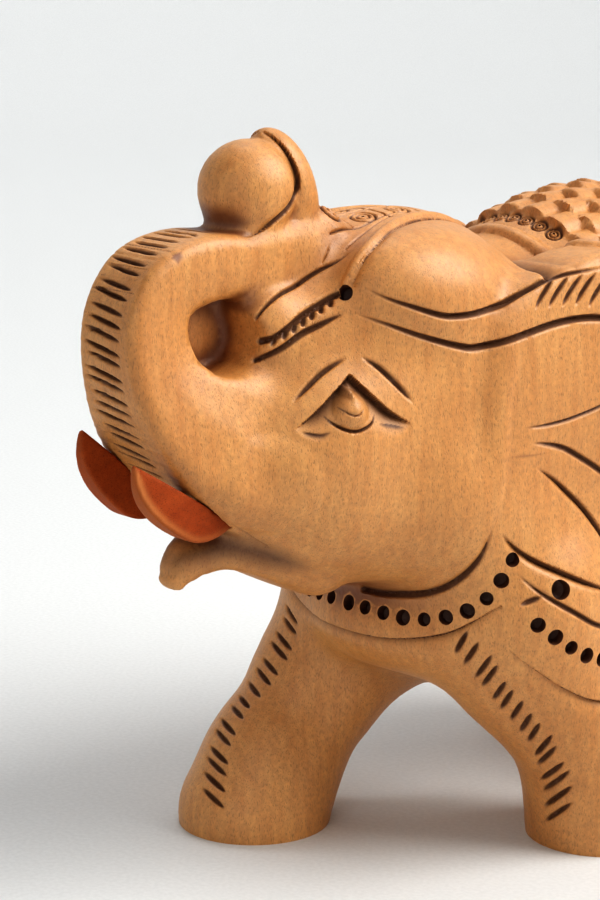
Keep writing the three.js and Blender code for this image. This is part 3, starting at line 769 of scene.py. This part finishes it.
def carved_block():
    """The whole block: a coarse net, made finer where the carver has been, then cut."""
    points, quads = surface_net(lambda p: np.maximum(elephant(p), -p[:, 2]), (-54.5, -112, -3), (54.5, 118, 163), 2.0)
    sole = points[:, 2] < 0.95
    points[sole, 2] = 0
    rim = sole & (shared(elephant, points) > -1.6)
    for _ in range(4):
        g = slope(elephant, points[rim])
        g[:, 2] = 0
        points[rim] -= (shared(elephant, points[rim]) / np.maximum((g * g).sum(1), 0.25))[:, None] * g
    points = settle(elephant, points, 3)
    faces = triangles(quads)
    for _ in range(4):
        count = len(points)
        wanted = carve(points)[3]
        points, faces = split_long_edges(points, faces, wanted)
        if len(points) == count:
            break
        points[count:] = settle(elephant, points[count:], 2)
    normals = unit(slope(elephant, points))
    raised, cut, stain_and_shade, _ = carve(points)
    sole = points[:, 2] <= 0
    height = np.where(sole, 0, raised - cut)
    # How enclosed each point is, which the wood's colour turns into painted shade in the hollows.
    hollow = shelter(points, normals)
    carved = points + height[:, None] * normals
    carved[:, 2] = np.maximum(carved[:, 2], 0)
    return carved, faces, {"stain_and_shade": stain_and_shade, "shelter": hollow}


# ------ the tusks

ROOT = np.array([0, -79, 80.1], np.float32)
TIP = np.array([0, -102.8, 95.4], np.float32)
TUSK_LENGTH = float(np.linalg.norm(TIP - ROOT))
RUN = (TIP - ROOT) / TUSK_LENGTH
INWARD = np.array([0, RUN[2], -RUN[1]], np.float32)
TUSK_BELLY, TUSK_THICKNESS, TUSK_MIDDLE = 8.0, 5.6, 9.6
PEG_RADIUS, PEG_LENGTH, FIT = 1.4, 11.0, 0.3
TUSKS = {"left": (1, 0, 0), "right": (-1, 10, 1.5)}  # side, lift in degrees, how far forward


def bezier(start, *spans):
    """Points along joined cubic curves; each span is two handles and an end."""
    t = np.linspace(0, 1, 13)[1:, None]
    at, rows = np.array(start, float), []
    for a, b, end in spans:
        a, b, end = np.array(a, float), np.array(b, float), np.array(end, float)
        rows.append((1 - t) ** 3 * at + 3 * t * (1 - t) ** 2 * a + 3 * t * t * (1 - t) * b + t**3 * end)
        at = end
    return np.concatenate(rows).astype(np.float32)


def in_tusk(side, points):
    """Points seen along the left tusk: how far along it, how far inward, and to its side."""
    sign, lift, forward = TUSKS[side]
    x, y, z = (points * (sign, 1, 1)).T
    a = math.radians(lift)
    y, z = y - ROOT[1] + forward, z - ROOT[2]
    q = np.stack([y * math.cos(a) - z * math.sin(a), y * math.sin(a) + z * math.cos(a)], 1)
    return q @ RUN[1:], q @ INWARD[1:], x - TUSK_MIDDLE


def crescent():
    """The tusk's outline seen from the side."""
    long, deep = TUSK_LENGTH, -TUSK_BELLY
    return bezier(
        (0, 0),
        [(0.35 * long, 0.2), (0.7 * long, 0), (long, 0)],
        [(long - 2, 0.62 * deep), (0.72 * long, 1.03 * deep), (0.36 * long, 0.95 * deep)],
        [(0.2 * long, 0.9 * deep), (0.06 * long, 0.42 * deep), (0, 0)],
    )


def tusk_field(side, bevel):
    """A crescent seen from the side, a lens seen along its edge."""
    long, half, outline = TUSK_LENGTH, TUSK_THICKNESS / 2, crescent()
    lens = bezier(
        (0, -0.3 * half),
        [(0.3 * long, -1.25 * half), (0.65 * long, -1.2 * half), (long, -0.2 * half)],
        [(long, -0.1 * half), (long, 0.1 * half), (long, 0.2 * half)],
        [(0.65 * long, 1.2 * half), (0.3 * long, 1.25 * half), (0, 0.3 * half)],
        [(0, 0.1 * half), (0, -0.1 * half), (0, -0.3 * half)],
    )

    def field(p):
        u, v, w = in_tusk(side, p)
        seen, thick = inside_outline(outline, np.stack([u, v], 1)), inside_outline(lens, np.stack([u, w], 1))
        return -meld(bevel, -seen, -thick)

    return field


def peg_field(side, grow):
    """The round rod on a tusk's inward axis."""

    def field(p):
        u, v, w = in_tusk(side, p)
        across = np.hypot(u - 0.43 * TUSK_LENGTH, w) - PEG_RADIUS - grow
        return np.maximum(across, np.abs(v - 1.2) - PEG_LENGTH / 2 - grow)

    return field


def tusk_box(side, room):
    sign, _, forward = TUSKS[side]
    x = np.sort([sign * (TUSK_MIDDLE - 5), sign * (TUSK_MIDDLE + 5)])
    return (x[0] - room, -107 - room, 72 - room), (x[1] + room, -72 + room, 104 + room)


# ------ Blender objects

peg_low, peg_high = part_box("tusk_peg_left")
peg_middle = np.array([TUSK_MIDDLE, *(ROOT + 0.43 * TUSK_LENGTH * RUN + 1.2 * INWARD)[1:]])
SHIFT = (np.array(peg_low) + np.array(peg_high)) / 2 / MM - peg_middle  # from the carving's axes to the frame's


def placed(name, data):
    """A new object with this data, linked to the scene."""
    obj = bpy.data.objects.new(name, data)
    bpy.context.collection.objects.link(obj)
    return obj


def mesh_object(name, points, faces, values=None):
    """A Blender object from points in millimetres, with a number at each point for every name in values."""
    mesh = bpy.data.meshes.new(name)
    mesh.from_pydata(((points + SHIFT) * MM).tolist(), [], faces.tolist())
    for key, column in (values or {}).items():
        mesh.attributes.new(key, "FLOAT", "POINT").data.foreach_set("value", column.astype(np.float32))
    mesh.shade_smooth()
    return placed(name, mesh)


def cut_away(obj, cutters):
    """Subtracts closed objects from another, and removes them."""
    for cutter in cutters:
        modifier = obj.modifiers.new("cut", "BOOLEAN")
        modifier.operation, modifier.solver, modifier.object = "DIFFERENCE", "MANIFOLD", cutter
    bpy.context.view_layer.update()
    graph = bpy.context.evaluated_depsgraph_get()
    made = bpy.data.meshes.new_from_object(obj.evaluated_get(graph), depsgraph=graph)
    obj.modifiers.clear()
    obj.data = made
    for cutter in cutters:
        bpy.data.objects.remove(cutter)


def drills():
    """The drill bits, all in one object: round, with a cone at the end, standing on the block where a hole goes."""
    points, faces, count = [], [], 20
    turns = np.arange(count) * 2 * math.pi / count
    for m in MARKS:
        if m["kind"] != "hole":
            continue
        out, r, deep = m["normal"][0], m["width"][0], m["depth"]
        a = unit(np.cross(out, (0.1, 0.2, 1.0)))
        b = np.cross(out, a)
        start = len(points)
        for level, radius in ((1.5, 1.08 * r), (0.12, 1.08 * r), (-0.25, r), (-deep, 0.94 * r)):
            points += [m["path"][0] + level * out + radius * (math.cos(t) * a + math.sin(t) * b) for t in turns]
        points += [m["path"][0] + 1.5 * out, m["path"][0] - (deep + 0.45 * r) * out]
        for level in range(3):
            for i in range(count):
                j = (i + 1) % count
                p, q = start + level * count, start + (level + 1) * count
                faces += [(p + i, q + i, q + j), (p + i, q + j, p + j)]
        rim, end = start + 3 * count, start + 4 * count
        for i in range(count):
            j = (i + 1) % count
            faces += [(start + i, start + j, end), (rim + j, rim + i, end + 1)]
    made = np.array(points, np.float32)
    # Painted shade: the holes' walls get the highest value of both darkening attributes, so the wood inside each hole
    # is painted dark.
    dark = np.full(len(made), 2.0)
    return mesh_object("drills", made, np.array(faces), {"stain_and_shade": dark, "shelter": dark})


def netted(name, field, low, high, size):
    points, quads = surface_net(field, low, high, size)
    return mesh_object(name, settle(field, points, 2), triangles(quads))


for marks in (trunk_marks, hood, headdress, head_marks, ear_marks, ear_edge, harness, leg_marks, tail_marks, rug_marks):
    marks()
cast_marks()
points, faces, values = carved_block()
body = mesh_object("carved_elephant", points, faces, values)
cut_away(body, [drills()])
tusks = {}
for side in TUSKS:
    low, high = tusk_box(side, 1.5)
    plain = tusk_field(side, 0.3)
    grown = netted("notch_" + side, lambda p: plain(p) - FIT, low, high, 0.8)
    socket = netted("socket_" + side, peg_field(side, FIT), low, high, 0.45)
    cut_away(body, [grown, socket])
    tusk = netted("tusk_" + side + "_carved", tusk_field(side, 0.45), low, high, 0.5)
    socket = netted("socket_" + side, peg_field(side, FIT), low, high, 0.45)
    cut_away(tusk, [socket])
    tusks[side] = tusk
body.data.set_sharp_from_angle(angle=math.radians(48))

# ------ wood


class Nodes:
    """A small helper that writes the node tree of a material, or of a world, from left to right."""

    def __init__(self, name, kind=bpy.data.materials):
        self.owner = kind.new(name)
        self.owner.use_nodes = True
        self.tree = self.owner.node_tree
        self.shader = self.tree.nodes.get("Principled BSDF")

    def add(self, kind, settings=None, **inputs):
        node = self.tree.nodes.new("ShaderNode" + kind)
        for key, value in (settings or {}).items():
            setattr(node, key, value)
        for key, value in inputs.items():
            self.feed(node, key, value)
        return node

    def feed(self, node, key, value):
        """Gives one input a link or a value; i0, i1 and so on name it by its place."""
        numbered = key[0] == "i" and key[1:].isdigit()
        socket = node.inputs[int(key[1:]) if numbered else key.replace("_", " ")]
        if isinstance(value, bpy.types.NodeSocket):
            self.tree.links.new(value, socket)
        else:
            socket.default_value = value

    def math(self, operation, a, b=0.0, c=0.0, clamp=False):
        return self.add("Math", {"operation": operation, "use_clamp": clamp}, i0=a, i1=b, i2=c).outputs[0]

    def ramp(self, value, stops, mode="LINEAR"):
        """A colour ramp from (place, colour) stops."""
        node = self.add("ValToRGB", Fac=value)
        node.color_ramp.interpolation = mode
        while len(node.color_ramp.elements) < len(stops):
            node.color_ramp.elements.new(0.5)
        for element, (place, colour) in zip(node.color_ramp.elements, stops):
            element.position = place
            element.color = (*colour, 1)
        return node.outputs[0]

    def mix(self, factor, a, b, mode="MIX"):
        node = self.add("Mix", {"data_type": "RGBA", "blend_type": mode})
        for key, value in ((0, factor), (6, a), (7, b)):
            if isinstance(value, bpy.types.NodeSocket):
                self.tree.links.new(value, node.inputs[key])
            else:
                node.inputs[key].default_value = value if key == 0 else (*value, 1)
        return node.outputs[2]

    def value_of(self, name):
        return self.add("Attribute", {"attribute_name": name}).outputs["Fac"]


def grey(v):
    return (v, v, v)


def wood(name, tones, stain_and_shade, grain, pores=0.4, polish=0.44, coat=0.1, shine=0.8, worn_and_lit=None):
    """Oiled wood: streaks and fine dark pores along its grain, a mottled tone, painted shade in hollows, stain with
    painted shade in the cuts, and on the tusks a paler rim, partly wear and partly painted light.
    """
    light, dark = tones
    n = Nodes(name)
    place = n.add("TexCoord").outputs["Object"]
    along = n.add("Mapping", Vector=place, Scale=grain).outputs[0]
    streak = n.add("TexNoise", Vector=along, Scale=520.0, Detail=3.0, Roughness=0.6).outputs[0]
    broad = n.add("TexNoise", Vector=along, Scale=60.0, Detail=2.0, Roughness=0.5, Distortion=0.4).outputs[0]
    mottle = n.add("TexNoise", Vector=place, Scale=900.0, Detail=3.0, Roughness=0.65).outputs[0]
    patch = n.add("TexNoise", Vector=place, Scale=26.0, Detail=2.0).outputs[0]
    short = n.add("Mapping", Vector=place, Scale=tuple(1 if g == 1 else 3 * g for g in grain)).outputs[0]
    pore = n.add("TexNoise", Vector=short, Scale=4200.0, Detail=1.0).outputs[0]
    tone = n.math("MULTIPLY_ADD", streak, 0.5, n.math("MULTIPLY_ADD", broad, 0.35, n.math("MULTIPLY", patch, 0.35)))
    tone = n.ramp(tone, [(0.40, grey(0)), (0.80, grey(1))])
    colour = n.mix(tone, light, dark)
    fleck = n.ramp(pore, [(0.57, grey(0)), (0.68, grey(1))])
    colour = n.mix(n.math("MULTIPLY", fleck, pores), colour, tuple(0.4 * c for c in dark))
    speck = n.ramp(mottle, [(0.3, grey(0.86)), (0.7, grey(1.1))])
    colour = n.mix(1.0, colour, speck, "MULTIPLY")
    rough = n.math("MULTIPLY_ADD", mottle, 0.24, polish - 0.12)
    height = n.math("MULTIPLY_ADD", fleck, -0.6, n.math("MULTIPLY_ADD", streak, 0.4, n.math("MULTIPLY", mottle, 0.5)))
    if stain_and_shade:
        cut = n.value_of("stain_and_shade")
        hollow = n.value_of("shelter")
        uneven = n.math("MULTIPLY_ADD", mottle, 0.5, 0.75)
        # Painted shade: the more enclosed a hollow is, the more the wood is darkened towards the stain colour.
        painted_shade = n.math("MULTIPLY", n.ramp(hollow, [(0.14, grey(0)), (0.65, grey(1))], "EASE"), uneven, clamp=True)
        colour = n.mix(n.math("MULTIPLY", painted_shade, 0.85), colour, stain_and_shade)
        # Darker where the carving set a value: in cuts partly stain and partly painted shade; under the tusks and the
        # ball, and in the drilled holes, painted shade.
        deep = n.math("MULTIPLY", n.ramp(cut, [(0.04, grey(0)), (0.6, grey(1))], "EASE"), uneven, clamp=True)
        colour = n.mix(n.math("MULTIPLY", deep, 0.9), colour, tuple(0.42 * c for c in stain_and_shade))
        rough = n.math("MULTIPLY_ADD", deep, 0.2, rough, clamp=True)
    # A paler rim on the tusks, partly wear and partly painted light.
    if worn_and_lit:
        patchy = n.ramp(broad, [(0.35, grey(0.5)), (0.6, grey(1))])
        colour = n.mix(n.math("MULTIPLY", n.value_of("worn_and_lit"), patchy, clamp=True), colour, worn_and_lit)
    bump = n.add("Bump", Strength=0.35, Distance=0.00022, Height=height)
    n.feed(n.shader, "Base Color", colour)
    n.feed(n.shader, "Roughness", rough)
    n.feed(n.shader, "Normal", bump.outputs[0])
    n.shader.inputs["Coat Weight"].default_value = coat
    n.shader.inputs["Coat Roughness"].default_value = 0.42
    n.shader.inputs["Specular IOR Level"].default_value = shine
    n.shader.inputs["IOR"].default_value = 1.45
    return n.owner


HONEY, HONEY_STAIN_AND_SHADE = ((0.68, 0.345, 0.115), (0.52, 0.215, 0.053)), (0.17, 0.045, 0.009)
RED, RED_WORN_AND_LIT = ((0.40, 0.085, 0.018), (0.27, 0.045, 0.008)), (0.62, 0.26, 0.09)
PEG = ((0.52, 0.27, 0.10), (0.38, 0.17, 0.055))
honey = wood("honey_wood", HONEY, HONEY_STAIN_AND_SHADE, (1, 1, 0.09), polish=0.52, coat=0.35)
red = wood("red_wood", RED, None, (1, 0.25, 0.5), 0.5, 0.6, 0.0, 0.2, RED_WORN_AND_LIT)
peg = wood("peg_wood", PEG, None, (1, 1, 0.12))


def paint_wear_and_light(obj, side, strength):
    """Marks where a tusk is paler: its belly, and most of all the ridge between that and its outer face; partly rubbed
    wear, partly painted light, as strength is larger on the lit near tusk.
    """
    points = np.array([v.co for v in obj.data.vertices]) / MM - SHIFT
    u, v, w = in_tusk(side, points)
    rim = inside_outline(crescent(), np.stack([u, v], 1))
    along = np.clip(u / TUSK_LENGTH, 0.02, 0.98)
    outward = np.clip(-v / (4 * TUSK_BELLY * along * (1 - along)) / 0.2 - 2.2, 0, 1)
    ridge = np.exp(-(((rim + 0.7) / 0.8) ** 2)) * (w > 0.5) * (0.25 + 0.75 * along)
    belly = np.clip(1 + rim / 0.4, 0, 1) * 0.45
    worn_and_lit = strength * outward * np.maximum(ridge, belly)
    obj.data.attributes.new("worn_and_lit", "FLOAT", "POINT").data.foreach_set("value", worn_and_lit.astype(np.float32))


def finish_piece(obj, material, ride_on, node):
    obj.data.materials.clear()
    obj.data.materials.append(material)
    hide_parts(node)
    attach(obj, ride_on)


finish_piece(body, honey, "elephant", "carved_body")
# Painted light and shade: the near tusk, in the light, gets its paler rim at full strength, and the far one, in shade,
# at 0.3.
for side, strength in (("left", 1.0), ("right", 0.3)):
    paint_wear_and_light(tusks[side], side, strength)
    finish_piece(tusks[side], red, side + "_tusk", "tusk_" + side)
    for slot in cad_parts["tusk_peg_" + side].material_slots:
        slot.material = peg

# ------ table, light and camera


def backdrop():
    """A round table of pale paper whose far edge sweeps up into a wall, all the way round."""
    profile = [(0.0, 0.0), (0.5, 0.0), (1.0, 0.0), (1.6, 0.0)]
    profile += [(1.6 + 0.9 * math.sin(a), 0.9 - 0.9 * math.cos(a)) for a in np.linspace(0.1, math.pi / 2, 16)]
    profile += [(2.5, 1.8), (2.5, 2.6)]
    count = 96
    turns = np.arange(count) * 2 * math.pi / count
    points = [(0, 0, 0)] + [(r * math.cos(t), r * math.sin(t), z) for r, z in profile[1:] for t in turns]
    faces = [(0, 1 + i, 1 + (i + 1) % count) for i in range(count)]
    for level in range(len(profile) - 2):
        p = 1 + level * count
        faces += [(p + i, p + count + i, p + count + (i + 1) % count, p + (i + 1) % count) for i in range(count)]
    mesh = bpy.data.meshes.new("paper_sweep")
    mesh.from_pydata(points, [], faces)
    mesh.shade_smooth()
    n = Nodes("pale_paper")
    place = n.add("TexCoord").outputs["Object"]
    fibre = n.add("TexNoise", Vector=place, Scale=900.0, Detail=3.0).outputs[0]
    n.feed(n.shader, "Base Color", n.ramp(fibre, [(0.35, (0.68, 0.685, 0.68)), (0.65, (0.72, 0.725, 0.72))]))
    n.shader.inputs["Roughness"].default_value = 0.85
    n.feed(n.shader, "Normal", n.add("Bump", Strength=0.1, Distance=0.0002, Height=fibre).outputs[0])
    mesh.materials.append(n.owner)
    return placed("paper_sweep", mesh)


def aim(obj, place, target):
    obj.location = place
    obj.rotation_euler = (Vector(target) - Vector(place)).to_track_quat("-Z", "Y").to_euler()


def soft_light(name, place, target, size, watts, colour=(1, 1, 1)):
    data = bpy.data.lights.new(name, "AREA")
    data.shape, data.size, data.energy, data.color = "DISK", size, watts, colour
    light = placed(name, data)
    light.visible_camera = False
    aim(light, place, target)


backdrop()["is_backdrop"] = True
soft_light("window", (0.64, 0.52, 0.84), (0, -0.02, 0.07), 0.9, 11.6, (1, 0.99, 0.96))
soft_light("fill", (0.7, -1.2, 0.7), (0, 0, 0.08), 1.0, 2.0)
soft_light("wall", (-0.9, 0.6, 2.2), (-1.9, 1.7, 0.7), 1.0, 18)


def room():
    """A pale room, brighter towards the window and overhead than behind the camera."""
    n = Nodes("pale_room", bpy.data.worlds)
    place = n.add("TexCoord").outputs["Generated"]
    facing = n.add("VectorMath", {"operation": "DOT_PRODUCT"}, i0=place, i1=(0.55, 0.55, 0.63)).outputs["Value"]
    background = n.tree.nodes["Background"]
    n.feed(background, "Color", n.ramp(facing, [(0.0, (0.09, 0.09, 0.092)), (0.9, (0.95, 0.97, 1.0))]))
    n.feed(background, "Strength", 0.76)
    return n.owner


bpy.context.scene.world = room()
bpy.context.scene.view_settings.view_transform = "Standard"
bpy.context.scene.view_settings.look = "High Contrast"

camera = placed("camera", bpy.data.cameras.new("camera"))
aim(camera, (0.3978, -0.3892, 0.2004), (-0.0218, -0.0371, 0.084))
camera.data.sensor_width = 36
camera.data.lens = 103.04
camera.data.clip_start, camera.data.clip_end = 0.01, 20
bpy.context.scene.camera = camera

low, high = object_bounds()
{"cad": [list(CAD_BOX[0]), list(CAD_BOX[1])], "visual": [list(low), list(high)]}
